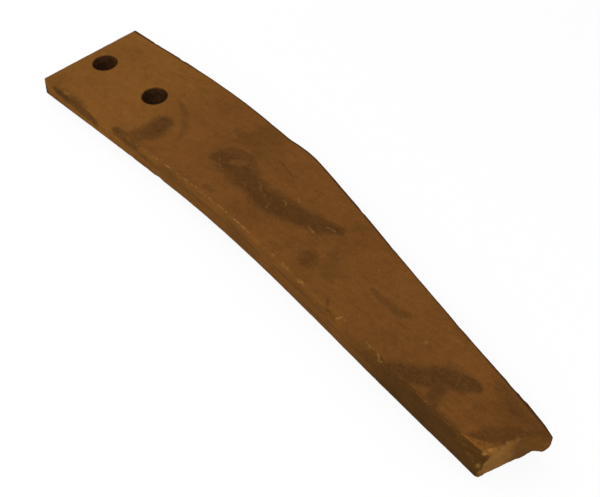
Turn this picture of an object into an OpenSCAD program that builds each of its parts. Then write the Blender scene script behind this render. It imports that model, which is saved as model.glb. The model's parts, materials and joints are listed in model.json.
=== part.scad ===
// Power harrow tine: one forged and worn piece of flat steel, lying on its back face.
// +X runs from the bolt holes to the tip, +Z comes out of the broad face, and the origin
// is on the back face, halfway between the centres of the two bolt holes.

/* [Head] */
// Width across the head
head_w = 77; // [72:1:82]
// Thickness of the head
head_t = 15; // [12:0.5:17]
// Diameter of each bolt hole
hole_d = 16.5; // [14.5:0.5:18.5]
// Distance between the centres of the bolt holes
hole_gap = 52; // [46:1:58]
// Distance from the first hole's centre to the end of the head
end_margin = 16; // [14:0.5:20]
// Radius of the corners at the end of the head
corner_r = 3.5; // [2:0.5:6]
// Distance that the sheared end of the head slopes out at its foot
head_toe = 3; // [0:0.5:4]

/* [Blade] */
// Thickness of the blade
blade_t = 20; // [18:0.5:24]
// Length from the middle of the bolt holes to the near corner of the tip
reach = 313.5; // [290:0.5:330]
// Angle that the long edge is swept by
long_sweep = 7.5; // [6:0.5:9]
// Radius of the bend in the long edge
long_bend_r = 1020; // [900:10:1100]
// Angle of the tapered edge between the head and the shoulder
neck_taper = 11.2; // [9:0.1:12]
// Radius of the bend that leads into the neck
neck_bend_r = 305; // [260:5:340]
// Length of the land on the shoulder
shoulder_land = 8; // [5:0.5:10]
// Radius of the rounded shoulder
shoulder_r = 85; // [60:5:100]
// Angle of the tapered edge between the shoulder and the tip
blade_taper = 17.7; // [17:0.1:18.4]

/* [Tip] */
// Skew of the end face, seen from above
end_skew = 29; // [20:1:32]
// Angle that the end face leans back by
end_lean = 7; // [0:1:12]
// Depth of the hollow worn into the end face
end_hollow = 1.6; // [0.5:0.1:3]
// Distance that the top edge of the end face is broken back by at the near corner
top_break = 4.5; // [3:0.5:6]
// Length of the worn facet at the near corner, along the long edge
facet_l = 10.5; // [6:0.5:14]
// Width of the worn facet, in from the long edge
facet_w = 4.3; // [3:0.1:6]
// Depth of the nick in the long edge
nick_depth = 2; // [1:0.25:3]
// Length of the nick in the long edge
nick_l = 18; // [12:1:24]

/* [Hidden] */

steel = "saddlebrown";

// Where each form starts, measured from the middle of the bolt holes
head_end_x = -hole_gap / 2 - end_margin;
head_foot_x = head_end_x - head_toe;
neck_x = 32;
long_bend_x = 47;
ramp_start_x = 52;
ramp_end_x = 141;
shoulder_x = 122;
nick_x = 221;

land_angle = 3.5;
// How the worn planes at the tip face: up from level, and round from the tine's length
break_tilt = 30;
break_skew = end_skew + 4;
facet_tilt = 41;
corner_tilt = 21;
facet_turn = 66;
// The worn corner starts this far below the top of the blade
corner_drop = 3;
long_bend_end_x = long_bend_x + long_bend_r * sin(long_sweep);
neck_bend_end_x = neck_x + neck_bend_r * sin(neck_taper);
land_end_x = shoulder_x + shoulder_land;
taper_x = land_end_x + shoulder_r * (sin(blade_taper) - sin(land_angle));
// The blade is drawn past its end face, which is then cut to its skew and lean
blade_draw_x = reach + 30;

// Rounding of the long arrises: fine at the head, worn rounder at the tip
head_edge_r = 1.5;
tip_edge_r = 2.5;
edge_steps = 3;
hole_rim = 0.5;
cut_size = head_w + 2 * blade_t;
through = 1;
smooth_fn = 96;

// Distance that an arc of radius r falls between two slopes, and at a run of d
function arc_fall(r, a0, a1) = r * (cos(a0) - cos(a1));
function arc_drop(r, d) = r - sqrt(r * r - d * d);

// The long edge, which faces -Y
long_bend_y = -head_w / 2 - arc_drop(long_bend_r, long_bend_end_x - long_bend_x);
function long_y(x) =
    x < long_bend_x ? -head_w / 2 :
    x < long_bend_end_x ? -head_w / 2 - arc_drop(long_bend_r, x - long_bend_x) :
    long_bend_y - (x - long_bend_end_x) * tan(long_sweep);

// The tapered edge, which faces +Y: neck bend, neck, shoulder land, shoulder, taper
neck_y = head_w / 2 - arc_fall(neck_bend_r, 0, neck_taper);
shoulder_y = neck_y - (shoulder_x - neck_bend_end_x) * tan(neck_taper);
land_y = shoulder_y - shoulder_land * tan(land_angle);
taper_y = land_y - arc_fall(shoulder_r, land_angle, blade_taper);
shoulder_mid_x = land_end_x - shoulder_r * sin(land_angle);
function taper_edge_y(x) =
    x < neck_x ? head_w / 2 :
    x < neck_bend_end_x ? head_w / 2 - arc_drop(neck_bend_r, x - neck_x) :
    x < shoulder_x ? neck_y - (x - neck_bend_end_x) * tan(neck_taper) :
    x < land_end_x ? shoulder_y - (x - shoulder_x) * tan(land_angle) :
    x < taper_x ? land_y - arc_drop(shoulder_r, x - shoulder_mid_x)
                  + arc_drop(shoulder_r, land_end_x - shoulder_mid_x) :
    taper_y - (x - taper_x) * tan(blade_taper);

// Thickness and rounding along the tine
function ramp(u) = u < 0 ? 0 : u > 1 ? 1 : u * u * (3 - 2 * u);
function thickness(x) =
    head_t + (blade_t - head_t) * ramp((x - ramp_start_x) / (ramp_end_x - ramp_start_x));
function edge_r(x) = head_edge_r + (tip_edge_r - head_edge_r) * ramp((x - neck_x) / (reach - neck_x));

// Section across the tine at x, as [y, z] points with rounded corners
function rounded(y, z, r, a) =
    [for (i = [0 : edge_steps]) let (b = a + 90 * i / edge_steps) [y + r * cos(b), z + r * sin(b)]];
function section(x) =
    let (lo = long_y(x), hi = taper_edge_y(x), t = thickness(x), r = edge_r(x))
    concat(
        rounded(hi - r, t - r, r, 0),
        rounded(lo + r, t - r, r, 90),
        rounded(lo + r, r, r, 180),
        rounded(hi - r, r, r, 270));

// Stations along the blade, closer together where an edge turns
function steps(a, b, n) = [for (i = [0 : n - 1]) a + (b - a) * i / n];
stations = concat(
    steps(neck_x, shoulder_x, 14),
    steps(shoulder_x, land_end_x, 1),
    steps(land_end_x, taper_x, 6),
    steps(taper_x, long_bend_end_x, 3),
    [long_bend_end_x, reach, blade_draw_x]);

// Closed solid through the sections at the given stations
module loft(xs) {
    rings = [for (x = xs) section(x)];
    n = len(rings[0]);
    last = len(xs) - 1;
    points = [for (i = [0 : last], p = rings[i]) [xs[i], p[0], p[1]]];
    sides = [for (i = [0 : last - 1], k = [0 : n - 1])
        let (a = i * n + k, b = i * n + (k + 1) % n)
        each [[b + n, b, a], [a + n, b + n, a]]];
    ends = [[for (k = [0 : n - 1]) k], [for (k = [n - 1 : -1 : 0]) last * n + k]];
    polyhedron(points = points, faces = concat(sides, ends));
}

// Flat head, rounded along every edge that the tine shows there
module head() {
    run = neck_x - head_foot_x;
    r = head_edge_r;
    intersection() {
        translate([head_foot_x, 0, 0])
            rotate([90, 0, 90]) linear_extrude(run) polygon(section(head_end_x));
        linear_extrude(head_t) polygon(concat(
            [[neck_x, head_w / 2]],
            rounded(head_foot_x + corner_r, head_w / 2 - corner_r, corner_r, 90),
            rounded(head_foot_x + corner_r, corner_r - head_w / 2, corner_r, 180),
            [[neck_x, -head_w / 2]]));
        translate([0, head_w / 2, 0])
            rotate([90, 0, 0]) linear_extrude(head_w) polygon(concat(
                [[neck_x, head_t]],
                rounded(head_end_x + r, head_t - r, r, 90),
                rounded(head_foot_x + r, r, r, 180),
                [[neck_x, 0]]));
    }
}

// Block whose near face is a cutting plane through p, tilted up and turned about Z
module cut(p, tilt, turn) {
    translate(p) rotate([0, -tilt, turn])
        translate([0, -cut_size / 2, -cut_size / 2]) cube(cut_size);
}

// Bolt hole with the slightly broken rims that a punched hole has
module bolt_hole(x) {
    translate([x, 0, -through]) cylinder(d = hole_d, h = head_t + 2 * through, $fn = smooth_fn);
    translate([x, 0, head_t - hole_rim])
        cylinder(d1 = hole_d, d2 = hole_d + 4 * hole_rim, h = 2 * hole_rim, $fn = smooth_fn);
    translate([x, 0, -hole_rim])
        cylinder(d1 = hole_d + 4 * hole_rim, d2 = hole_d, h = 2 * hole_rim, $fn = smooth_fn);
}

// Skewed end face, its hollow and broken top edge, and the two planes worn on the near corner
module tip_wear() {
    corner_y = long_y(reach);
    tip_w = (taper_edge_y(reach) - corner_y) * cos(end_skew);
    hollow_r = (tip_w * tip_w / 4 + end_hollow * end_hollow) / (2 * end_hollow);
    cut([reach, corner_y, 0], end_lean, -end_skew);
    cut([reach - top_break, corner_y, blade_t], break_tilt, -break_skew);
    cut([reach - facet_l, corner_y + facet_w, blade_t], facet_tilt, -facet_turn);
    cut([reach - corner_drop, corner_y + facet_w, blade_t - corner_drop], corner_tilt, -facet_turn);
    translate([reach, corner_y, 0]) rotate([0, -end_lean, -end_skew])
        translate([hollow_r - end_hollow, tip_w / 2, -blade_t])
            cylinder(r = hollow_r, h = 3 * blade_t, $fn = smooth_fn);
}

// Shallow scoop knocked out of the top of the long edge
module edge_nick() {
    r = (nick_l * nick_l / 4 + nick_depth * nick_depth) / (2 * nick_depth);
    lift = (r - nick_depth) / sqrt(2);
    translate([nick_x, long_y(nick_x) - lift, blade_t + lift])
        rotate([-45, 0, 0]) cylinder(r = r, h = 60, center = true, $fn = smooth_fn);
}

module tine() {
    color(steel)
        difference() {
            union() {
                head();
                loft(stations);
            }
            for (side = [-1, 1]) bolt_hole(side * hole_gap / 2);
            tip_wear();
            edge_nick();
        }
}

tine();
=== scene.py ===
"""Worn power harrow tine: a forged flat of steel with a chipped, hollowed tip and a stained brown finish.

The worn piece is built as a dense block that is bent to the outline read from the frame, then
rounded, dented and chipped. Lengths are in millimetres until the mesh is written, in metres.
"""
import json
import math
import random

import bpy
import numpy as np
from mathutils import Matrix, Vector, noise
from mathutils.bvhtree import BVHTree


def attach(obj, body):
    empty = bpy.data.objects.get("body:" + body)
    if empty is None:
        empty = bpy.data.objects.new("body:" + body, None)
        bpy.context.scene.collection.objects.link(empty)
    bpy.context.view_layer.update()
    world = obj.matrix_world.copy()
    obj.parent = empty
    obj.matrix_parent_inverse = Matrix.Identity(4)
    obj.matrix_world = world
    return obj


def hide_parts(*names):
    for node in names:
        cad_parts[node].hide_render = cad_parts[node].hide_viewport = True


MM = 0.001

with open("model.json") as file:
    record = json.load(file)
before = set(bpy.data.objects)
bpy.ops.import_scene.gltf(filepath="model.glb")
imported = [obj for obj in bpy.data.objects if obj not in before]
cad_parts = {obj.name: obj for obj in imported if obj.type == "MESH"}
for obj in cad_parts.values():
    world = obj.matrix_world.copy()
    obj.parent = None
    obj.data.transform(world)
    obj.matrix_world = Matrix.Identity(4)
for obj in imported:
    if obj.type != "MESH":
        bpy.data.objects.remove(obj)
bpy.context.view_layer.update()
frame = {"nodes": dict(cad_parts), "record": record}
cad_tine = frame["nodes"]["tine"]
mounts = {m["name"]: m for m in frame["record"]["mounts"]}
HOLES = ("hole_end", "hole_blade")

# The tip's end line at the foot of the end face, seen from above
TIP_NEAR_X = 313.5
END_SKEW = math.radians(29)

# How far the end face is worn in from that line, in millimetres, at shares of its width from the long
# edge to the tapered edge. Each row is a share of the height. The far corner stands out as a lip.
END_ACROSS = (0.00, 0.09, 0.28, 0.38, 0.48, 0.60, 0.67, 0.74, 0.86, 0.93, 0.97, 1.00)
END_WORN = (
    (0.00, (-0.7, -0.3, 0.4, 0.7, 0.9, 1.4, 1.3, 1.1, 1.9, 3.1, 2.8, 2.1)),
    (0.25, (0.0, 0.5, 1.3, 1.6, 1.9, 2.0, 2.1, 2.2, 2.7, 1.8, 0.3, -1.4)),
    (0.60, (1.6, 2.2, 2.8, 2.9, 3.6, 3.4, 3.3, 3.0, 2.0, 0.8, -0.8, -1.5)),
    (1.00, (3.4, 4.1, 4.6, 4.4, 5.5, 5.0, 4.7, 4.2, 2.8, 1.4, 0.4, 0.0)),
)

# How far the forged edges stand out from the solid's lines, at places along the tine
TAPER_OUT = ((-42, 1.1), (-10, 0.4), (10, 0.6), (40, -0.2), (110, 0.0), (130, 0.2), (175, 0.5), (225, -0.1),
             (280, -0.2), (298, 0.3), (312, 1.05), (324, 0.5), (331, -0.9))
LONG_OUT = ((-42, -0.5), (-28, -0.3), (20, -0.25), (72, 0.45), (110, 0.05), (190, -0.1), (255, 0.2),
            (313, -0.1))
# The same for the head's end, at its top and at its foot
HEAD_TOP_OUT = 0.6
HEAD_FOOT_OUT = 3.6
# The share of the foot's that is gone at the tapered edge
HEAD_FOOT_EASE = 0.85

# The two planes worn on the near corner: a place on each, from the corner of the top, and its slope
FACET_AT = (-6.4, 7.2, 0.0)
FACET_FACES = (0.242, -0.624, 0.743)
CORNER_AT = (-2.5, 5.0, -3.2)
CORNER_FACES = (0.179, -0.903, 0.390)
# The planes worn on the head's near corner, each from the corner of the foot
HEAD_CORNER_WEAR = (
    ((-2.3, 1.2, -0.3), (-0.69, -0.69, 0.24)),
    ((-1.8, 0.9, 0.9), (-0.50, -0.55, -0.65)),
)

# Rounding of the arrises at the head and at the tip, and where it starts to grow from the one to the other
HEAD_ARRIS = 1.2
TIP_ARRIS = 2.0
ARRIS_GROWS_FROM = 60
# How far the wear of the tip's end face and the slope of the head's end reach along the tine
TIP_RUN = 26
HEAD_RUN = 30

# Waves of the forged skin: their fineness along and across the tine, where each starts, and its height
SKIN_WAVES = ((0.022, 0.04, 3, 0.16), (0.09, 0.13, 9, 0.09), (0.5, 0.5, 21, 0.04))
# The nick in the long edge, then a row of longer bruises from there to the tip, as (x, length, depth)
BRUISES = ((219, 16, 1.7), (246, 12, 0.8), (182, 8, 0.6), (196, 9, 0.7), (266, 10, 0.7), (281, 9, 0.6),
           (296, 8, 0.7))
CHIPS_SEED = 7
END_CHIPS = 14
# Unevenness of the planes worn on the tip's corner and on the head's
TIP_RIPPLE = 0.5
HEAD_RIPPLE = 0.2

# Softened rim of each bolt hole, and how far it starts under the face
HOLE_RIM = 0.4
HOLE_RIM_SUNK = 0.15
HOLE_TURNS = 96
HOLE_RIM_STEPS = 4

# A reach that no smear has, for places that are clear of them all
CLEAR = 4.0

# Mesh spacing along, across and through the tine
FINE_TIP = 34
STEPS_ALONG = 235
STEPS_TIP = 64
STEPS_ACROSS = 44
STEPS_THROUGH = 14
ARRIS_STEPS = 4


# The outline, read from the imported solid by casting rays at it

def make_probe(obj):
    """Returns a function that gives where a ray first meets the solid, in millimetres."""
    tree = BVHTree.FromObject(obj, bpy.context.evaluated_depsgraph_get())

    def probe(start, direction):
        hit = tree.ray_cast(Vector(start) * MM, Vector(direction))[0]
        return None if hit is None else hit / MM
    return probe


def read_outline(obj):
    """Samples the sloped head end, the long edge, the tapered edge and the top of the solid."""
    probe = make_probe(obj)
    far = 200.0
    low, mid_z, high = 4.0, 7.0, 11.0
    past_head_corner, clear_of_tip = 6, TIP_NEAR_X - 14
    readings, in_from_edge = 150, 8
    low_x = probe((-far, 0, low), (1, 0, 0)).x
    high_x = probe((-far, 0, high), (1, 0, 0)).x
    slope = (high_x - low_x) / (high - low)
    xs = np.linspace(high_x + past_head_corner, clear_of_tip, readings)
    long_edge = np.array([probe((x, -far, mid_z), (0, 1, 0)).y for x in xs])
    taper_edge = np.array([probe((x, far, mid_z), (0, -1, 0)).y for x in xs])
    top = np.array([probe((x, y - in_from_edge, far), (0, 0, -1)).z for x, y in zip(xs, taper_edge)])
    foot_x = low_x - slope * low
    return foot_x, foot_x + slope * top[0], xs, long_edge, taper_edge, top


def extended(xs, values, slope_over=20):
    """Interpolates values over xs and carries on at the end slopes outside them."""
    slope = (values[-1] - values[-slope_over]) / (xs[-1] - xs[-slope_over])

    def at(x):
        inside = np.interp(x, xs, values)
        return inside + np.maximum(x - xs[-1], 0) * slope
    return at


HEAD_FOOT, HEAD_END, edge_xs, long_ys, taper_ys, top_zs = read_outline(cad_tine)
long_edge_y = extended(edge_xs, long_ys)
taper_edge_y = extended(edge_xs, taper_ys)


def top_z(x):
    return np.interp(x, edge_xs, top_zs)


def foot_z(x):
    return 0.0


def smooth(t):
    t = np.clip(t, 0, 1)
    return t * t * (3 - 2 * t)


def far_corner_x():
    """Where the skewed end line meets the tapered edge, closed in on step by step."""
    x = TIP_NEAR_X
    for _ in range(40):
        x = TIP_NEAR_X + (taper_edge_y(x) - long_edge_y(TIP_NEAR_X)) * math.tan(END_SKEW)
    return float(x)


TIP_FAR_X = far_corner_x()


# The block that is bent to the outline

def spaced_lines(length, arris, steps):
    """Grid lines over a length, crowded near both ends so that a rounded arris is even."""
    near = [arris * (1 - math.tan(math.pi / 4 * (1 - k / ARRIS_STEPS))) for k in range(ARRIS_STEPS + 1)]
    inner = [near[-1] + (length - 2 * near[-1]) * k / steps for k in range(1, steps)]
    return np.array(near + inner + [length - d for d in reversed(near)])


def lines_along(length):
    """Grid lines along the tine, closer together over the tip."""
    ends = spaced_lines(length, TIP_ARRIS, 1)
    body = np.linspace(ends[ARRIS_STEPS], length - FINE_TIP, STEPS_ALONG)[1:]
    tip = np.linspace(length - FINE_TIP, ends[ARRIS_STEPS + 1], STEPS_TIP)[1:-1]
    return np.concatenate([ends[:ARRIS_STEPS + 1], body, tip, ends[ARRIS_STEPS + 1:]])


def block_surface(nu, nv, nw):
    """Grid places and quads of the outside of a block of nu by nv by nw lines."""
    index = -np.ones((nu, nv, nw), int)
    places = [(i, j, k) for i in range(nu) for j in range(nv) for k in range(nw)
              if i in (0, nu - 1) or j in (0, nv - 1) or k in (0, nw - 1)]
    for n, place in enumerate(places):
        index[place] = n
    quads = []

    def add_sheet(sheet, flip):
        a, b = sheet[:-1, :-1].ravel(), sheet[1:, :-1].ravel()
        c, d = sheet[1:, 1:].ravel(), sheet[:-1, 1:].ravel()
        corners = np.stack([a, b, c, d] if not flip else [d, c, b, a], 1)
        quads.append(corners)
    add_sheet(index[:, :, 0], True)
    add_sheet(index[:, :, -1], False)
    add_sheet(index[:, 0, :], False)
    add_sheet(index[:, -1, :], True)
    add_sheet(index[0, :, :], True)
    add_sheet(index[-1, :, :], False)
    return np.array(places), np.concatenate(quads)


def bent_block():
    """Vertices and quads of the tine before wear, and each vertex's share of the end face."""
    length = (TIP_NEAR_X + TIP_FAR_X) / 2 - HEAD_END
    along = lines_along(length)
    x_long = HEAD_END + along / length * (TIP_NEAR_X - HEAD_END)
    x_taper = HEAD_END + along / length * (TIP_FAR_X - HEAD_END)
    width = np.hypot(x_taper - x_long, taper_edge_y(x_taper) - long_edge_y(x_long))
    depth = top_z((x_long + x_taper) / 2)
    across = np.array([spaced_lines(w, TIP_ARRIS, STEPS_ACROSS) for w in width])
    through = np.array([spaced_lines(d, TIP_ARRIS, STEPS_THROUGH) for d in depth])
    places, quads = block_surface(len(along), across.shape[1], through.shape[1])
    i, j, k = places.T
    flat = np.stack([along[i], across[i, j], through[i, k]], 1)
    size = np.stack([np.full(len(i), length), width[i], depth[i]], 1)
    arris = HEAD_ARRIS + (TIP_ARRIS - HEAD_ARRIS) * smooth((flat[:, 0] - ARRIS_GROWS_FROM) / length)
    core = np.clip(flat, arris[:, None], size - arris[:, None])
    away = flat - core
    reach = np.linalg.norm(away, axis=1, keepdims=True)
    flat = core + away / np.maximum(reach, 1e-9) * arris[:, None]
    a, share, up = flat[:, 0], flat[:, 1] / size[:, 1], flat[:, 2] / size[:, 2]
    near_tip = smooth((a - (length - TIP_RUN)) / TIP_RUN)
    near_head = smooth((HEAD_RUN - a) / HEAD_RUN)

    def worn_back(shares):
        levels = np.array([level for level, row in END_WORN])
        rows = np.array([np.interp(shares, END_ACROSS, row) + 0 * up for level, row in END_WORN])
        climb = np.clip(up, 0, 1)
        step = np.clip(np.searchsorted(levels, climb) - 1, 0, len(levels) - 2)
        part = (climb - levels[step]) / (levels[step + 1] - levels[step])
        index = np.arange(len(up))
        worn = rows[step, index] * (1 - part) + rows[step + 1, index] * part
        foot_out = HEAD_FOOT_OUT * (1 - HEAD_FOOT_EASE * shares)
        toe = HEAD_TOP_OUT + (HEAD_END - HEAD_FOOT + foot_out - HEAD_TOP_OUT) * (1 - up)
        return worn * near_tip + toe * near_head
    xl = HEAD_END + a / length * (TIP_NEAR_X - HEAD_END)
    xt = HEAD_END + a / length * (TIP_FAR_X - HEAD_END)
    x = xl + share * (xt - xl) - worn_back(share)
    at_long, at_taper = xl - worn_back(0.0), xt - worn_back(1.0)
    yl = long_edge_y(at_long) - np.interp(at_long, *zip(*LONG_OUT))
    yt = taper_edge_y(at_taper) + np.interp(at_taper, *zip(*TAPER_OUT))
    points = np.stack([x, yl + share * (yt - yl), flat[:, 2]], 1)
    # the end face proper starts part of the way round its arris
    end_from, end_over = 0.6 * TIP_ARRIS, 0.4 * TIP_ARRIS
    end_face = np.clip((a - (length - end_from)) / end_over, 0, 1)
    return points, quads, end_face


# Wear

def scoop(points, centre, radius):
    """Pushes what lies inside a ball out to its surface."""
    away = points - np.array(centre)
    reach = np.linalg.norm(away, axis=1, keepdims=True)
    inside = reach[:, 0] < radius
    points[inside] = np.array(centre) + away[inside] / reach[inside] * radius


def dent(points, place, outward, length, depth):
    """A scoop of the given length and depth, centred on a place on the surface."""
    radius = (length * length / 4 + depth * depth) / (2 * depth)
    outward = np.array(outward) / np.linalg.norm(outward)
    scoop(points, np.array(place) + outward * (radius - depth), radius)


def plane_off(points, place, normal, ripple):
    """Flattens what stands past a plane onto it, with a slight ripple, and says which points those are."""
    normal = np.array(normal) / np.linalg.norm(normal)
    past = (points - np.array(place)) @ normal
    over = past > 0
    points[over] -= past[over, None] * normal
    ripples_per_mm = 0.35
    for n in np.nonzero(over)[0]:
        points[n] -= normal * ripple * (0.5 + 0.5 * noise.noise(Vector(points[n] * ripples_per_mm)))
    return over


def route_reach(points, route):
    """How far each point is from a route of (x, y, half width), as a share of that half width."""
    nearest = np.full(len(points), CLEAR)
    for (ax, ay, aw), (bx, by, bw) in zip(route, route[1:]):
        run = np.array([bx - ax, by - ay])
        away = points - (ax, ay)
        share = np.clip(away @ run / (run @ run), 0, 1)
        side = np.linalg.norm(away - share[:, None] * run, axis=1)
        nearest = np.minimum(nearest, side / (aw + share * (bw - aw)))
    return nearest


def smear_field(points, smears):
    """The reach from the nearest of several smears, and the depth of what is near, blended."""
    sharpness = 5
    reaches = np.array([route_reach(points, route) for route, depth in smears])
    weights = np.exp(-sharpness * reaches)
    depths = np.array([depth for route, depth in smears])
    return reaches.min(axis=0), (weights * depths[:, None]).sum(axis=0) / weights.sum(axis=0)


def smear_marks(points, from_long, from_taper):
    """The smears' reach and depth at each vertex, each side of the tine with its own smears."""
    skin, arris, strip = 0.5, 1.5, 8
    reach = np.full(len(points), CLEAR)
    depth = np.zeros(len(points))
    top = points[:, 2] > top_z(points[:, 0]) - skin
    back = points[:, 2] < skin
    wall = ~top & ~back & (from_taper < arris)
    for side, axes, smears in ((top, (0, 1), SMEARS), (back, (0, 1), BACK_SMEARS),
                               (wall, (0, 2), TAPER_WALL_SMEARS)):
        reach[side], depth[side] = smear_field(points[side][:, axes], smears)
    # the long edge's wall and the strip of the broad face next to it are taken as one unrolled face
    unrolled = np.stack([points[:, 0], points[:, 2] + np.maximum(from_long, 0)], 1)
    wall_reach, wall_depth = smear_field(unrolled, LONG_WALL_SMEARS)
    over = ~back & (from_long < strip) & (wall_reach < reach)
    reach[over], depth[over] = wall_reach[over], wall_depth[over]
    return reach, depth


def spot_field(points, spots):
    """The strongest of several soft round spots, each (x, y, z, reach)."""
    strongest = np.zeros(len(points))
    for *place, reach in spots:
        away = np.linalg.norm(points - np.array(place), axis=1) / reach
        strongest = np.maximum(strongest, np.exp(-away ** 2))
    return strongest


def tone_field(points):
    """How much lighter or darker the finish is over broad areas."""
    tone = np.zeros(len(points))
    for x, y, reach, gain in TONES:
        away = np.hypot(points[:, 0] - x, points[:, 1] - y) / reach
        tone += gain * np.exp(-away ** 2)
    return tone


def chip_edge(points, rng, edge_y, side, span, count, z_of):
    """Small dents at random places along one long arris."""
    for _ in range(count):
        x = rng.uniform(*span)
        place = (x, float(edge_y(x)), float(z_of(x)))
        up = 1 if place[2] > 0 else -1
        outward = (rng.uniform(-0.3, 0.3), side, up * rng.uniform(0.5, 1.6))
        dent(points, place, outward, rng.uniform(3, 8), rng.uniform(0.30, 0.55))


def chip_end(points, rng, corner, count):
    """Small chips along the broken top edge of the end face."""
    far_y = float(taper_edge_y(TIP_FAR_X))
    for _ in range(count):
        share = rng.uniform(0.18, 0.92)
        worn = np.interp(share, END_ACROSS, END_WORN[-1][1])
        place = (TIP_NEAR_X + share * (TIP_FAR_X - TIP_NEAR_X) - worn,
                 corner[1] + share * (far_y - corner[1]), corner[2])
        outward = (0.6, -0.33, rng.uniform(0.4, 1.0))
        dent(points, place, outward, rng.uniform(2, 5), rng.uniform(0.4, 0.9))


def forge_skin(points, normals):
    """Slow waves and fine roughness of a forged and rusted face."""
    for n, (p, normal) in enumerate(zip(points, normals)):
        rise = 0.0
        for along, across, start, height in SKIN_WAVES:
            rise += height * noise.noise(Vector((p[0] * along, p[1] * across, p[2] * across + start)))
        points[n] = p + normal * rise


def batter_end(points, normals, end_face, top):
    """Lumps and pits over the end face, larger along its broken top edge."""
    lump_height, top_lump_height, pit_depth = 0.25, 1.0, 0.22
    low = 0.55 * top
    for n in np.nonzero(end_face > 0)[0]:
        p = points[n]
        lump = noise.noise(Vector((p[0] * 0.22, p[1] * 0.22, p[2] * 0.25 + 40)))
        pit = noise.noise(Vector((p[0] * 0.8, p[1] * 0.8, p[2] * 0.8 + 60)))
        lumpy = lump_height + (top_lump_height - lump_height) * smooth((p[2] - low) / (top - low))
        points[n] = p + normals[n] * end_face[n] * (lumpy * lump + pit_depth * pit)


def vertex_normals(points, quads):
    a, b, c, d = (points[quads[:, n]] for n in range(4))
    face = np.cross(c - a, d - b)
    total = np.zeros_like(points)
    for n in range(4):
        np.add.at(total, quads[:, n], face)
    return total / np.maximum(np.linalg.norm(total, axis=1, keepdims=True), 1e-12)


def worn_tine():
    """Vertices and quads of the worn piece, and what the finish reads at each vertex."""
    points, quads, end_face = bent_block()
    rng = random.Random(CHIPS_SEED)
    marks = {name: np.zeros(len(points)) for name in ("facet", "corner")}
    tip_top = float(top_z(TIP_NEAR_X))
    corner = np.array([TIP_NEAR_X, float(long_edge_y(TIP_NEAR_X)), tip_top])
    forge_skin(points, vertex_normals(points, quads))
    batter_end(points, vertex_normals(points, quads), end_face, tip_top)
    chip_end(points, rng, corner, END_CHIPS)
    marks["facet"][plane_off(points, corner + FACET_AT, FACET_FACES, TIP_RIPPLE)] = 1
    worn_corner = plane_off(points, corner + CORNER_AT, CORNER_FACES, TIP_RIPPLE)
    marks["corner"][worn_corner] = 1
    marks["facet"][worn_corner] = 0
    head_corner = np.array([HEAD_FOOT, float(long_edge_y(HEAD_FOOT)), 0])
    for place, facing in HEAD_CORNER_WEAR:
        plane_off(points, head_corner + place, facing, HEAD_RIPPLE)
    in_from_arris = 0.4
    for x, length, depth in BRUISES:
        place = (x, float(long_edge_y(x)) + in_from_arris, float(top_z(x)) - in_from_arris)
        dent(points, place, (0.1, -1, 1.1), length, depth)
    # each long arris: its edge, the side it faces, where its chips end, its height and how many it has
    first_chip = HEAD_END + 6
    arrises = ((long_edge_y, -1, 298, top_z, 60), (taper_edge_y, 1, 318, top_z, 34),
               (long_edge_y, -1, 300, foot_z, 26), (taper_edge_y, 1, 318, foot_z, 24))
    for edge_y, side, last_chip, z_of, count in arrises:
        chip_edge(points, rng, edge_y, side, (first_chip, last_chip), count, z_of)
    from_long = points[:, 1] - long_edge_y(points[:, 0])
    from_taper = taper_edge_y(points[:, 0]) - points[:, 1]
    marks["smear_reach"], marks["smear_depth"] = smear_marks(points, from_long, from_taper)
    marks["rub_reach"], marks["rub_depth"] = smear_field(points[:, :2], RUBBED)
    marks["tone"] = tone_field(points)
    marks["glint"] = spot_field(points, TIP_GLINTS)
    marks["pit"] = spot_field(points, TIP_PITS)
    marks["end_face"] = end_face
    marks["from_long"] = from_long
    marks["from_taper"] = from_taper
    return points, quads, marks


def mesh_piece(name, points, quads, marks):
    mesh = bpy.data.meshes.new(name)
    mesh.from_pydata((points * MM).tolist(), [], quads.tolist())
    for mark, values in marks.items():
        mesh.attributes.new(mark, "FLOAT", "POINT").data.foreach_set("value", values.astype(np.float32))
    mesh.shade_smooth()
    piece = bpy.data.objects.new(name, mesh)
    bpy.context.scene.collection.objects.link(piece)
    return piece


def apply_modifiers(piece):
    """Replaces the piece's mesh by what its modifiers make of it."""
    graph = bpy.context.evaluated_depsgraph_get()
    done = bpy.data.meshes.new_from_object(piece.evaluated_get(graph))
    piece.modifiers.clear()
    piece.data = done


def hole_cutter(name, centre, radius, height):
    """A plug with a flared collar at each face, turned about the hole's axis."""
    past_face, rim, turns = 3.0, HOLE_RIM, HOLE_TURNS
    profile = [(radius + rim, height + past_face)]
    for k in range(HOLE_RIM_STEPS + 1):
        angle = math.pi / 2 * k / HOLE_RIM_STEPS
        profile.append((radius + rim * (1 - math.sin(angle)), height - rim + rim * math.cos(angle)))
    profile = profile + [(r, height - z) for r, z in reversed(profile)]
    around = [(math.cos(2 * math.pi * t / turns), math.sin(2 * math.pi * t / turns)) for t in range(turns)]
    points = [(centre.x / MM + r * c, centre.y / MM + r * s, z) for r, z in profile for c, s in around]
    last = len(profile) - 1
    faces = []
    for i in range(last):
        for t in range(turns):
            u = (t + 1) % turns
            faces.append((i * turns + t, (i + 1) * turns + t, (i + 1) * turns + u, i * turns + u))
    faces.append(list(range(turns)))
    faces.append(list(reversed([last * turns + t for t in range(turns)])))
    mesh = bpy.data.meshes.new(name)
    mesh.from_pydata((np.array(points) * MM).tolist(), [], faces)
    cutter = bpy.data.objects.new(name, mesh)
    bpy.context.scene.collection.objects.link(cutter)
    return cutter


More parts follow.
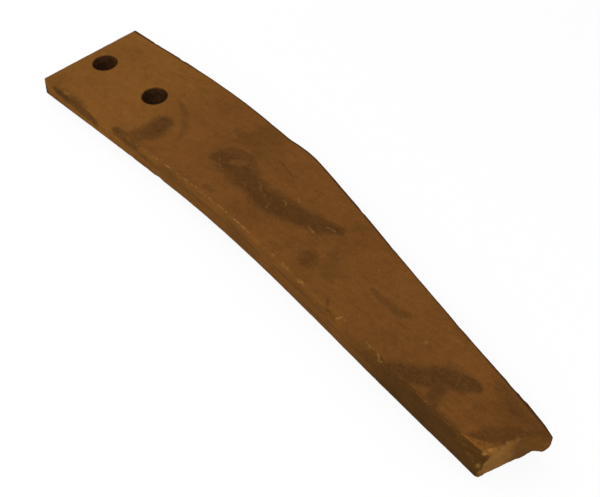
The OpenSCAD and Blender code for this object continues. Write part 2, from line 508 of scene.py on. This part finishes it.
def drill(piece):
    """Cuts the two bolt holes where the record's bores are."""
    cutters = []
    for name in HOLES:
        bore = mounts[name]
        centre = Vector(bore["pos_m"])
        height = float(top_z(centre.x / MM)) - HOLE_RIM_SUNK
        cutter = hole_cutter("cut_" + name, centre, bore["dims"]["r_mm"], height)
        cut = piece.modifiers.new(name, "BOOLEAN")
        cut.operation = "DIFFERENCE"
        cut.solver = "EXACT"
        cut.object = cutter
        cutters.append(cutter)
    apply_modifiers(piece)
    for cutter in cutters:
        bpy.data.objects.remove(cutter)


# Shader sums, written as Python expressions

class Value:
    """A shader socket that adds, multiplies and compares like a number."""

    def __init__(self, nodes, socket):
        self.nodes = nodes
        self.socket = socket

    def __add__(self, other):
        return self.nodes.maths("ADD", self, other)

    __radd__ = __add__

    def __sub__(self, other):
        return self.nodes.maths("SUBTRACT", self, other)

    def __rsub__(self, other):
        return self.nodes.maths("SUBTRACT", other, self)

    def __mul__(self, other):
        return self.nodes.maths("MULTIPLY", self, other)

    __rmul__ = __mul__

    def __truediv__(self, other):
        return self.nodes.maths("DIVIDE", self, other)

    def max(self, other):
        return self.nodes.maths("MAXIMUM", self, other)

    def min(self, other):
        return self.nodes.maths("MINIMUM", self, other)

    def size(self):
        return self.nodes.maths("ABSOLUTE", self)

    def root(self):
        return self.nodes.maths("SQRT", self)

    def step(self, low, high):
        """0 at low and 1 at high, smooth between; low may be the larger."""
        ends = (low, high, 0.0, 1.0) if low < high else (high, low, 1.0, 0.0)
        made = self.nodes.node("ShaderNodeMapRange", {"interpolation_type": "SMOOTHSTEP"},
                               dict(enumerate((self, *ends))))
        return Value(self.nodes, made.outputs[0])


class Nodes:
    """The shader nodes of a material or of the world."""

    def __init__(self, owner):
        owner.use_nodes = True
        self.tree = owner.node_tree

    def node(self, kind, settings, inputs):
        """A node of one kind, with its settings, then the values or links of its sockets."""
        made = self.tree.nodes.new(kind)
        for name, value in settings.items():
            setattr(made, name, value)
        for slot, value in inputs.items():
            self.feed(made.inputs[slot], value)
        return made

    def feed(self, socket, value):
        """Links a value or a socket to a socket, or sets it there."""
        if isinstance(value, Value):
            value = value.socket
        if isinstance(value, bpy.types.NodeSocket):
            self.tree.links.new(value, socket)
        else:
            socket.default_value = value

    def maths(self, operation, *values):
        made = self.node("ShaderNodeMath", {"operation": operation}, dict(enumerate(values)))
        return Value(self, made.outputs[0])

    def ray(self, kind):
        """1 where the ray that meets the surface is of this kind, and 0 elsewhere."""
        return Value(self, self.node("ShaderNodeLightPath", {}, {}).outputs[kind])

    def blended(self, share, low, high):
        """A shader that goes from low to high with share."""
        return self.node("ShaderNodeMixShader", {}, {0: share, 1: low, 2: high}).outputs[0]


class Surface(Nodes):
    """Places on the tine in millimetres, noises over them, and lines drawn on it."""

    def __init__(self, material):
        super().__init__(material)
        self.shader = self.tree.nodes["Principled BSDF"]
        where = self.node("ShaderNodeTexCoord", {}, {})
        self.place = self.vector("SCALE", where.outputs["Object"], Scale=1 / MM)
        self.x, self.y, self.z = self.split(self.place)
        _, self.ny, self.nz = self.split(where.outputs["Normal"])

    def vector(self, operation, *vectors, **inputs):
        """The vector that an operation on vectors gives, or its value."""
        made = self.node("ShaderNodeVectorMath", {"operation": operation},
                         {**dict(enumerate(vectors)), **inputs})
        single = operation in ("DOT_PRODUCT", "LENGTH")
        return Value(self, made.outputs["Value"]) if single else made.outputs["Vector"]

    def split(self, socket):
        made = self.node("ShaderNodeSeparateXYZ", {}, {0: socket})
        return [Value(self, out) for out in made.outputs]

    def attribute(self, name):
        made = self.node("ShaderNodeAttribute", {"attribute_name": name}, {})
        return Value(self, made.outputs["Fac"])

    def noise_node(self, size, detail, roughness, warp, stretch, shift):
        mapping = self.node("ShaderNodeMapping", {}, {
            "Vector": self.place, "Scale": [1 / (size * s) for s in stretch],
            "Location": (shift, shift * 0.7, shift * 1.3)})
        return self.node("ShaderNodeTexNoise", {}, {
            "Vector": mapping.outputs[0], "Scale": 1.0, "Detail": detail, "Roughness": roughness,
            "Distortion": warp})

    def noise(self, size, detail=3.0, roughness=0.55, warp=0.0, stretch=(1, 1, 1), shift=0.0):
        """Noise whose patches are about size millimetres across, from 0 to 1."""
        made = self.noise_node(size, detail, roughness, warp, stretch, shift)
        return Value(self, made.outputs[0])

    def shaken_place(self, size, reach, shift):
        """The place on the broad face, moved about by up to some reach, so that lines waver."""
        made = self.noise_node(size, 2.0, 0.5, 0.0, (1, 1, 1), shift)
        off = self.vector("SUBTRACT", made.outputs["Color"], (0.5, 0.5, 0.5))
        moved = self.vector("ADD", self.place, self.vector("SCALE", off, Scale=2 * reach))
        return self.vector("MULTIPLY", moved, (1, 1, 0))

    def lines(self, routes, place, wander, soft=0.5):
        """Fine lines along routes of (x, y, half width) on the broad face."""
        nearest = None
        for route in routes:
            for (ax, ay, aw), (bx, by, bw) in zip(route, route[1:]):
                run = Vector((bx - ax, by - ay, 0))
                away = self.vector("SUBTRACT", place, (ax, ay, 0))
                share = self.vector("DOT_PRODUCT", away, run / run.length_squared).max(0.0).min(1.0)
                side = self.vector("SUBTRACT", away, self.vector("SCALE", tuple(run), Scale=share))
                reach = self.vector("LENGTH", side) / (share * (bw - aw) + aw)
                nearest = reach if nearest is None else nearest.min(reach)
        return (nearest + wander).step(1 + soft, 1 - soft)

    def mix(self, share, low, high, blend="MIX"):
        """Colour that goes from low to high with share; each is a colour or a mixed socket."""
        low, high = ((*c, 1) if isinstance(c, tuple) else c for c in (low, high))
        made = self.node("ShaderNodeMix", {"data_type": "RGBA", "blend_type": blend},
                         {0: share, 6: low, 7: high})
        return made.outputs[2]

    def bump(self, *heights):
        """Stacks bumps; each height is (value, depth in millimetres)."""
        under = {}
        for height, depth in heights:
            made = self.node("ShaderNodeBump", {}, {"Distance": depth * MM, "Height": height, **under})
            under = {"Normal": made.outputs[0]}
        self.feed(self.shader.inputs["Normal"], under["Normal"])


# Colours of the finish and of the painted light and shade, linear
HEAD_VARNISH_LIT = (0.163, 0.0655, 0.0132)
BLADE_VARNISH = (0.128, 0.0505, 0.0118)
RUSTY = (0.128, 0.0450, 0.0095)
STAIN_AND_SHADE = (0.062, 0.0265, 0.0074)
SOOT_AND_EDGE_SHADE = (0.044, 0.0190, 0.0058)
BORE_DEEP_SHADE = (0.034, 0.0150, 0.0085)
BORE_RUST_SHADE = (0.064, 0.0290, 0.0120)
GLINT = (0.260, 0.1350, 0.0450)
RAW_END = (0.205, 0.0950, 0.0215)
DULL_END = (0.112, 0.0460, 0.0110)
FACET_RUST = (0.158, 0.0610, 0.0135)
WALL_PAINTED_LIGHT = (1.21, 1.21, 0.98)

# Smears on the broad face: their routes as (x, y, half width), and how dark they are
SMEARS = (
    (((99, -13, 4.5), (107, -10.5, 8.5), (120, -13, 9), (130, -17, 7.2), (140, -19.3, 7), (150, -19, 7.8),
      (160, -17.5, 7), (170, -16, 6), (180, -13.5, 5.5), (190, -9.5, 3)), 0.85),
    (((97, -8, 2), (102, -3, 2.4), (108, -1.5, 2.4), (116, -2.5, 2.6), (122, -6, 3)), 0.60),
    (((50, -14, 6.5), (51, -22, 7.5), (49, -28, 6)), 0.95),
    (((49, -26, 6), (47, -34, 6), (46, -40, 7)), 0.60),
    (((40, 8, 1.5), (52, 3, 2.0), (60, -4, 2.6), (67, -12, 2.2), (69, -18, 1.5)), 0.38),
    (((90, 12, 2.5), (97, 10.5, 3), (104, 9, 2.5)), 0.40),
    (((96, 12, 2), (103, 17, 3), (112, 20, 3)), 0.35),
    (((97, 5, 2), (103, 7, 2.5), (110, 10, 2)), 0.25),
    (((104, 24, 5), (116, 18, 6)), 0.22),
    (((189, -34, 4.6), (190, -36, 4.6)), 0.62),
    (((199, -26, 4), (203, -33, 5)), 0.26),
    (((226, -28, 1.6), (236, -29.5, 2), (244, -30, 2.4), (248, -28, 1.6)), 0.50),
    (((228, -22, 1.5), (238, -23, 1.2)), 0.25),
    (((112, -35, 2), (118, -35, 1.6)), 0.40),
    (((258, -57, 4), (270, -51, 5), (280, -43, 6.5), (287, -40, 5), (293, -38, 2.5)), 0.90),
    (((280, -50, 4), (281, -57, 4)), 0.75),
    (((246, -60, 2.2), (270, -61, 4), (300, -63, 3.2)), 0.95),
    (((302, -60, 2), (309, -53, 3.8), (316, -46, 3.6), (325, -38, 3.5)), 0.70),
    (((300, -31, 3), (311, -36, 4), (322, -37, 3)), 0.42),
)

# The same on the long edge's wall and on the hidden sides, with (x, z, half width) on the walls
LONG_WALL_SMEARS = (
    (((-30, 12, 3), (-22, 12, 5.0), (-8, 12, 5.6), (2, 11, 5.2), (10, 9, 4)), 0.9),
    (((34, 15, 4), (43, 14, 5), (52, 14, 4)), 0.75),
    (((78, 15, 3), (90, 15, 3)), 0.30),
    (((142, 7, 3), (158, 7, 3)), 0.20),
    (((56, 10, 1.0), (80, 11, 1.8), (105, 11, 1.2), (132, 11.5, 2.0), (165, 12, 1.4)), 0.42),
    (((176, 13, 1.2), (196, 14, 1.8), (214, 13, 1.4)), 0.50),
)
TAPER_WALL_SMEARS = (
    (((-20, 9, 4), (5, 7, 5)), 0.50),
    (((70, 10, 4), (96, 12, 5)), 0.45),
    (((215, 9, 5), (300, 10, 6)), 0.60),
)
BACK_SMEARS = (
    (((-8, 14, 7), (6, 6, 9)), 0.45),
    (((92, -14, 8), (118, -4, 10), (140, -12, 6)), 0.60),
    (((232, -34, 6), (262, -42, 9), (300, -44, 7)), 0.70),
)

# Where the colour changes along the tine, each from one x to another: from the head's to the blade's, where
# the near wall's painted shade starts and deepens, and where the end face starts
HEAD_TO_BLADE = (10, 95)
WALL_DARKENS = (225, 266)
WALL_DULLS = (150, 235)
END_FACE_STARTS = (298, 306)

# Broad areas as (x, y, reach), and how much lighter or darker the finish is there
TONES = (
    (-22, 20, 12, -0.09),
    (-32, -39, 9, -0.18),
    (64, 22, 16, -0.12),
    (60, -33, 10, -0.13),
    (75, -6, 8, 0.14),
    (130, 12, 10, 0.07),
    (148, -36, 10, -0.08),
    (240, -15, 12, 0.13),
    (278, -28, 8, 0.06),
    (299, -51, 7, -0.10),
    (312, -42, 8, -0.12),
)

# Bright spots and dark pits about the tip, as (x, y, z, reach)
TIP_GLINTS = (
    (310.6, -60.2, 16.2, 0.8),
    (311.2, -63.1, 9.2, 0.9),
    (311.7, -58.0, 18.4, 0.8),
    (317.7, -46.3, 18.8, 0.9),
    (315.2, -50.8, 18.9, 0.6),
)
TIP_PITS = (
    (311.4, -61.3, 13.1, 1.3),
    (310.1, -63.1, 9.8, 1.2),
    (312.4, -64.6, 3.5, 2.8),
    (314.9, -51.8, 18.9, 0.8),
    (313.6, -55.0, 18.5, 0.8),
)

# Cleaner places inside the smears
RUBBED = (
    (((110, -10.2, 2.2), (115, -8.0, 2.6)), 0.80),
    (((287, -53, 4), (297, -50, 5), (305, -46, 4), (311, -41, 2)), 0.55),
)

# Fine lines on the broad face as (x, y, half width): faint scribbles, pale specks and dark scratches
SCRIBBLES = (
    ((101, -13, 0.5), (104, -17, 0.5), (108, -18.5, 0.4)),
    ((131, -15, 0.4), (127, -18, 0.45), (131, -21, 0.4)),
    ((134, -12.5, 0.4), (138, -17, 0.45), (143, -18, 0.4)),
    ((146, -16, 0.4), (149, -21, 0.45), (149.5, -24, 0.35)),
    ((24, -22, 0.6), (26.5, -26, 0.7)),
)
SPECKS = (
    ((153, -13.5, 0.45), (157, -15.5, 0.4)),
    ((158, -8, 0.45), (161, -8.5, 0.4)),
    ((183, -12.5, 0.4), (188, -11, 0.45)),
    ((176, -18.5, 0.35), (180, -20, 0.45)),
    ((262, -35.5, 0.5), (263.5, -34.5, 0.4)),
    ((220, -16, 0.4), (222, -18, 0.35)),
    ((222, -51.2, 0.5), (227.5, -50.5, 0.45)),
    ((242.5, -53.2, 0.45), (247, -54.2, 0.4), (252.5, -55.8, 0.35)),
    ((182, -46, 0.4), (186, -46.5, 0.35)),
    ((194, -47.8, 0.4), (198.5, -48.5, 0.5)),
    ((-19, -36.8, 0.8), (-16.5, -37, 0.6)),
)
DARK_LINES = (
    ((212.5, -46.8, 0.5), (215.5, -50, 0.6), (219, -52, 0.7), (224, -53.4, 0.6)),
    ((131, 6.8, 0.4), (144, 3.7, 0.4)),
    ((286, -36.6, 0.6), (293, -36.1, 0.5)),
    ((245, -56.5, 0.5), (262, -58.5, 0.5), (275, -59.2, 0.4)),
)


def in_bore(s, bore):
    """1 inside a bolt hole, fading out over its rim."""
    dx = s.x - bore["pos_m"][0] / MM
    dy = s.y - bore["pos_m"][1] / MM
    radius = bore["dims"]["r_mm"]
    return (dx * dx + dy * dy).root().step(radius + 0.6, radius + 0.1)


def tine_finish():
    """Brown varnish over forged steel, with dark smears and a worn, grimy tip, and painted light and shade:
    a highlight along the long arris, a lighter head and near wall, dark edges, and shade in the bolt holes
    and on the near wall and corner at the tip.
    """
    material = bpy.data.materials.new("stained_varnish")
    s = Surface(material)
    cloudy = s.noise(34, 4, 0.6, 0.6, stretch=(1.4, 1, 1), shift=2)
    patchy = s.noise(13, 4, 0.6, 0.5, shift=17)
    mottle = s.noise(4.5, 4, 0.65, 0.3, shift=11)
    grain = s.noise(1.0, 3, 0.7, shift=31)
    brushed = s.noise(2.6, 4, 0.6, 0.4, stretch=(5, 1, 1), shift=51)
    wander = (s.noise(9, 5, 0.7, 0.6, shift=5) - 0.5) * 1.1
    fringe = (s.noise(3, 4, 0.7, 0.6, shift=7) - 0.5) * 1.3
    wall = s.ny.step(-0.45, -0.8)
    from_long = s.attribute("from_long")
    from_taper = s.attribute("from_taper")

    # painted light: the head is given a lighter varnish than the blade, for the light falling more fully on
    # it
    colour = s.mix(s.x.step(*HEAD_TO_BLADE), HEAD_VARNISH_LIT, BLADE_VARNISH)
    colour = s.mix(patchy.step(0.45, 0.72) * 0.35, colour, RUSTY)

    # smears, broken up by scratches where the finish shows through
    scraped = (fringe.size() + (brushed - 0.5).size() * 0.6).step(0.12, 0.03) * 0.35
    smeared = (s.attribute("smear_reach") + wander * 0.9 + fringe * 0.5).step(1.5, 0.5)
    smeared = smeared * s.attribute("smear_depth") * (1.0 - scraped) * (mottle.step(0.2, 0.6) * 0.25 + 0.75)
    rubbed = (s.attribute("rub_reach") + wander).step(1.6, 0.4) * s.attribute("rub_depth")
    # painted shade: the near wall darkens towards the tip in the stain's colour, so stained carries this
    # painted shade as well as the smears
    wall_end_shade = s.ny.step(-0.2, -0.6) * (s.x.step(*WALL_DARKENS) * 0.85 + s.x.step(*WALL_DULLS) * 0.12)
    stained = (smeared * (1.0 - rubbed)).max(wall_end_shade)
    colour = s.mix(stained, colour, STAIN_AND_SHADE)
    colour = s.mix(stained.step(0.55, 1.0) * patchy.step(0.4, 0.7) * 0.5, colour, SOOT_AND_EDGE_SHADE)

    # the tip's end face and the planes worn on its near corner
    end_face = s.attribute("end_face") * s.x.step(*END_FACE_STARTS)
    end_cloud = s.noise(3.5, 4, 0.7, 0.5, shift=91)
    end_pale = (s.y + end_cloud * 6).step(-43, -50) * (end_cloud.step(0.25, 0.6) * 0.6 + 0.4)
    colour = s.mix(end_face * 0.9, colour, DULL_END)
    colour = s.mix(end_face * end_pale, colour, RAW_END)
    # painted shade: the plane worn on the tip's near corner is coloured dark, as its shade
    colour = s.mix(s.attribute("corner").step(0.1, 0.9), colour, STAIN_AND_SHADE)
    facet = s.attribute("facet").step(0.1, 1.0) * (mottle.step(0.25, 0.6) * 0.6 + 0.3)
    colour = s.mix(facet, colour, FACET_RUST)

    # thin dark lines that run along the long edge's wall
    streaks = s.noise(1.5, 2, 0.5, stretch=(26, 26, 1), shift=83).step(0.53, 0.66)
    colour = s.mix(streaks * wall * (patchy.step(0.35, 0.65) * 0.50 + 0.14), colour, SOOT_AND_EDGE_SHADE)

    # painted highlight: a thin bright line along the long edge's top arris, broken into dashes
    line = from_long.step(0.7, 1.1) * from_long.step(1.8, 1.3) * s.nz.step(0.1, 0.3)
    dashes = s.noise(1.2, 3, 0.7, stretch=(2.2, 1, 1), shift=23).step(0.48, 0.62) * patchy.step(0.3, 0.55)
    spell = (s.x.step(30, 62) * s.x.step(205, 160)).max(0.15)
    colour = s.mix(line * dashes * spell, colour, GLINT)

    # faint scribbles, pale specks and dark scratches on the broad face
    shaken = s.shaken_place(3.0, 2.0, 61)
    upward = s.nz.step(0.1, 0.5)
    broken = grain.step(0.35, 0.55) * 0.8 + 0.2
    pale = (s.lines(SPECKS, shaken, fringe) * 0.38).max(s.lines(SCRIBBLES, shaken, fringe) * 0.18)
    dark = s.lines(DARK_LINES, shaken, fringe * 0.6) * 0.5
    colour = s.mix((pale * upward * broken).max(s.attribute("glint") * 0.9), colour, GLINT)
    colour = s.mix((dark * upward * broken).max(s.attribute("pit") * 0.8), colour, SOOT_AND_EDGE_SHADE)
    flecks = grain.step(0.66, 0.74) * brushed.step(0.5, 0.6)
    colour = s.mix(flecks * 0.30, colour, GLINT)
    pits = s.noise(1.5, 3, 0.6, shift=71).step(0.34, 0.26)
    colour = s.mix(pits * 0.45, colour, STAIN_AND_SHADE)

    # painted shade: darker along the tapered edge, over the head end and along the foot of the walls, in
    # the soot's colour
    head_end_shade = (s.x - HEAD_END).step(0.7, -0.5) * 0.6
    rim = from_taper.step(2.3, 0.8).max(head_end_shade) * s.nz.step(-0.6, 0.0)
    foot = s.z.step(1.6, 0.5) * s.nz.step(-0.9, -0.5) * 0.8
    colour = s.mix(rim.max(foot) * (mottle.step(0.2, 0.6) * 0.3 + 0.6), colour, SOOT_AND_EDGE_SHADE)

    # painted shade: the insides of the bolt holes are made dark, mottled between two shaded browns
    end_bore, blade_bore = (in_bore(s, mounts[name]) for name in HOLES)
    bore_shade = s.mix(mottle.step(0.42, 0.62) * 0.7, BORE_DEEP_SHADE, BORE_RUST_SHADE)
    colour = s.mix(end_bore.max(blade_bore) * 0.92, colour, bore_shade)

    gain = (cloudy - 0.5) * 0.40 + (patchy - 0.5) * 0.30 + (mottle - 0.5) * 0.45 + s.attribute("tone")
    gain = gain + (grain - 0.5) * 0.60 + (brushed - 0.5) * 0.30 + 0.96
    # painted light: the near wall's colour is made lighter and warmer, as if it were lit as brightly as the
    # top
    colour = s.mix(wall, colour, WALL_PAINTED_LIGHT, "MULTIPLY")
    s.feed(s.shader.inputs["Base Color"], s.vector("SCALE", colour, Scale=gain))

    rough = stained * 0.08 + (mottle - 0.5) * 0.25 + (grain - 0.5) * 0.12 + 0.55
    s.feed(s.shader.inputs["Roughness"], rough)
    s.shader.inputs["Metallic"].default_value = 0.12
    s.shader.inputs["Specular IOR Level"].default_value = 0.0
    s.bump((mottle, 0.30), (brushed, 0.15), (grain, 0.12))
    return material


# Floor, light and camera

WHITE = (1, 1, 1, 1)
FLOOR_GREY = (0.8, 0.8, 0.8, 1)
FLOOR_SIZE = 8
FLOOR_PLACE = (0.15, 0, -0.0002)
# How much of the floor that the camera sees is plain white
FLOOR_WHITE = 0.86
WORLD_LIGHT = 0.62
# Each lamp's name, place, side of its square, and watts
LAMPS = (
    ("key", (0.55, -0.75, 1.1), 0.9, 11),
    ("fill", (-0.6, 0.1, 1.0), 0.9, 5),
)
LAMP_AIM = (0.14, 0.0, 0.0)


def pale_floor():
    """A plain white floor just under the tine, which the camera sees as nearly white."""
    bpy.ops.mesh.primitive_plane_add(size=FLOOR_SIZE, location=FLOOR_PLACE)
    floor = bpy.context.object
    floor.name = "floor"
    material = bpy.data.materials.new("white_ground")
    nodes = Nodes(material)
    paint = nodes.tree.nodes["Principled BSDF"]
    nodes.feed(paint.inputs["Base Color"], FLOOR_GREY)
    nodes.feed(paint.inputs["Roughness"], 0.9)
    glow = nodes.node("ShaderNodeEmission", {}, {"Color": WHITE})
    seen = nodes.blended(nodes.ray("Is Camera Ray") * FLOOR_WHITE, paint.outputs[0], glow.outputs[0])
    nodes.feed(nodes.tree.nodes["Material Output"].inputs["Surface"], seen)
    floor.data.materials.append(material)


def soft_light(name, place, size, watts):
    lamp = bpy.data.lights.new(name, "AREA")
    lamp.shape = "SQUARE"
    lamp.size = size
    lamp.energy = watts
    holder = bpy.data.objects.new(name, lamp)
    bpy.context.scene.collection.objects.link(holder)
    holder.location = place
    holder.rotation_euler = (Vector(LAMP_AIM) - Vector(place)).to_track_quat("-Z", "Y").to_euler()


def studio():
    """Soft light from all round, which the camera and the sheen see as plain white, and two lamps."""
    world = bpy.data.worlds.new("studio")
    nodes = Nodes(world)
    light = nodes.tree.nodes["Background"]
    nodes.feed(light.inputs["Color"], WHITE)
    nodes.feed(light.inputs["Strength"], WORLD_LIGHT)
    plain = nodes.node("ShaderNodeBackground", {}, {"Color": WHITE, "Strength": 1.0})
    shown = nodes.ray("Is Camera Ray").max(nodes.ray("Is Glossy Ray"))
    seen = nodes.blended(shown, light.outputs[0], plain.outputs[0])
    nodes.feed(nodes.tree.nodes["World Output"].inputs["Surface"], seen)
    bpy.context.scene.world = world
    for lamp in LAMPS:
        soft_light(*lamp)
    bpy.context.scene.view_settings.view_transform = "Standard"


# Where the photograph was taken from, its aim on the ground, and its tilt about that line
CAMERA_PLACE = (0.30725, -0.18107, 0.27363)
CAMERA_AIM = (0.17208, -0.02115, 0.0)
CAMERA_ROLL = math.radians(1.70)
CAMERA_LENS = 36.70


def camera():
    lens = bpy.data.cameras.new("camera")
    lens.sensor_width = 36
    lens.lens = CAMERA_LENS
    lens.clip_start = 0.01
    holder = bpy.data.objects.new("camera", lens)
    bpy.context.scene.collection.objects.link(holder)
    aim = (Vector(CAMERA_AIM) - Vector(CAMERA_PLACE)).to_track_quat("-Z", "Y").to_matrix().to_4x4()
    holder.matrix_world = Matrix.Translation(CAMERA_PLACE) @ aim @ Matrix.Rotation(CAMERA_ROLL, 4, "Z")
    bpy.context.scene.camera = holder


# The scene

tine = mesh_piece("worn_tine", *worn_tine())
drill(tine)
tine.data.materials.clear()
tine.data.materials.append(tine_finish())
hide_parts("tine")
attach(tine, "root")
pale_floor()
studio()
camera()
